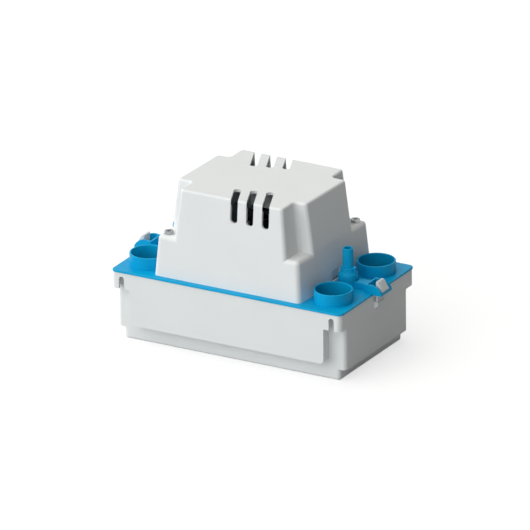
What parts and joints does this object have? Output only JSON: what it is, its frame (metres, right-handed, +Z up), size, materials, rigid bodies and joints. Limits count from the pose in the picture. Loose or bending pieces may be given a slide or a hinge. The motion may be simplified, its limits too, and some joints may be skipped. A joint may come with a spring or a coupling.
{
  "type": "condensate pump",
  "caption": "Condensate pump: tank with hanging slots, lid plate with inlet collars, tapered vented motor cover, outlet stem, float-switched centrifugal pump and end snap hooks",
  "frame": {"origin": "bottom centre of the tank on the surface it stands on", "axes": "+X along the tank to the outlet end, -Y front, +Z up"},
  "size_m": [0.283, 0.152, 0.1712],
  "materials": {
    "tank_plastic": "satin moulded",
    "deck_blue": "smooth moulded",
    "cover_plastic": "satin moulded",
    "plated_steel": "zinc plated",
    "seal_rubber": "moulded",
    "black_plastic": "moulded",
    "lamination": "lacquered",
    "natural_plastic": "moulded",
    "winding": "enamelled wire",
    "bearing_bronze": "sintered",
    "hook_plastic": "satin moulded"
  },
  "bodies": {
    "housing": {"tank": "tank_plastic", "deck_plate": "deck_blue", "motor_cover": "cover_plastic", "cover_screws": "plated_steel", "window_plug": "tank_plastic", "outlet_adaptor": "deck_blue", "outlet_o_ring": "seal_rubber", "motor_pedestal": "black_plastic", "stator_core": "lamination", "coil_bobbin": "natural_plastic", "stator_coil": "winding", "shading_rings": "winding", "upper_bracket": "plated_steel", "lower_bracket": "plated_steel", "bearing_bushes": "bearing_bronze", "motor_bolts": "plated_steel", "pump_column": "natural_plastic", "volute_housing": "natural_plastic", "suction_cover": "natural_plastic", "volute_screws": "plated_steel", "discharge_pipe": "natural_plastic", "valve_seat": "black_plastic", "valve_cage": "black_plastic", "float_bracket": "black_plastic", "float_pin": "plated_steel", "run_switch": "black_plastic", "alarm_switch": "black_plastic", "switch_bracket": "plated_steel", "switch_screws": "plated_steel", "terminal_block": "natural_plastic", "cable_gland": "black_plastic"},
    "rotor": {"rotor_core": "lamination", "motor_shaft": "plated_steel", "cooling_fan": "black_plastic", "impeller": "natural_plastic"},
    "float": {"float_arm": "black_plastic", "float_ball": "natural_plastic"},
    "plungers": {"run_plunger": "natural_plastic", "alarm_plunger": "natural_plastic"},
    "ball": {"check_ball": "seal_rubber"},
    "hook_r": {"hook_right": "hook_plastic"},
    "hook_l": {"hook_left": "hook_plastic"}
  },
  "joints": [
    {"name": "rotor_spin", "type": "hinge", "parent": "housing", "child": "rotor", "pos_m": [0.0195, 0, 0.15], "axis": [0, 0, 1], "continuous": true},
    {"name": "float_swing", "type": "hinge", "parent": "housing", "child": "float", "pos_m": [-0.028, 0, 0.0635], "axis": [0, 1, 0], "range_deg": [0, 12]},
    {"name": "plunger_slide", "type": "slide", "parent": "housing", "child": "plungers", "axis": [0, 0, 1], "range_m": [0, 0.0013]},
    {"name": "ball_lift", "type": "slide", "parent": "housing", "child": "ball", "axis": [0, 0, 1], "range_m": [0, 0.003]},
    {"name": "hook_right_flex", "type": "hinge", "parent": "housing", "child": "hook_r", "pos_m": [0.13415, 0, 0.06745], "axis": [0, -1, 0], "range_deg": [0, 24], "stiffness_Nm_per_rad": 0.5},
    {"name": "hook_left_flex", "type": "hinge", "parent": "housing", "child": "hook_l", "pos_m": [-0.13415, 0, 0.06745], "axis": [0, 1, 0], "range_deg": [0, 24], "stiffness_Nm_per_rad": 0.5}
  ],
  "couplings": [
    {"joint": "plunger_slide", "follows": "float_swing", "m_per_rad": 0.006}
  ]
}
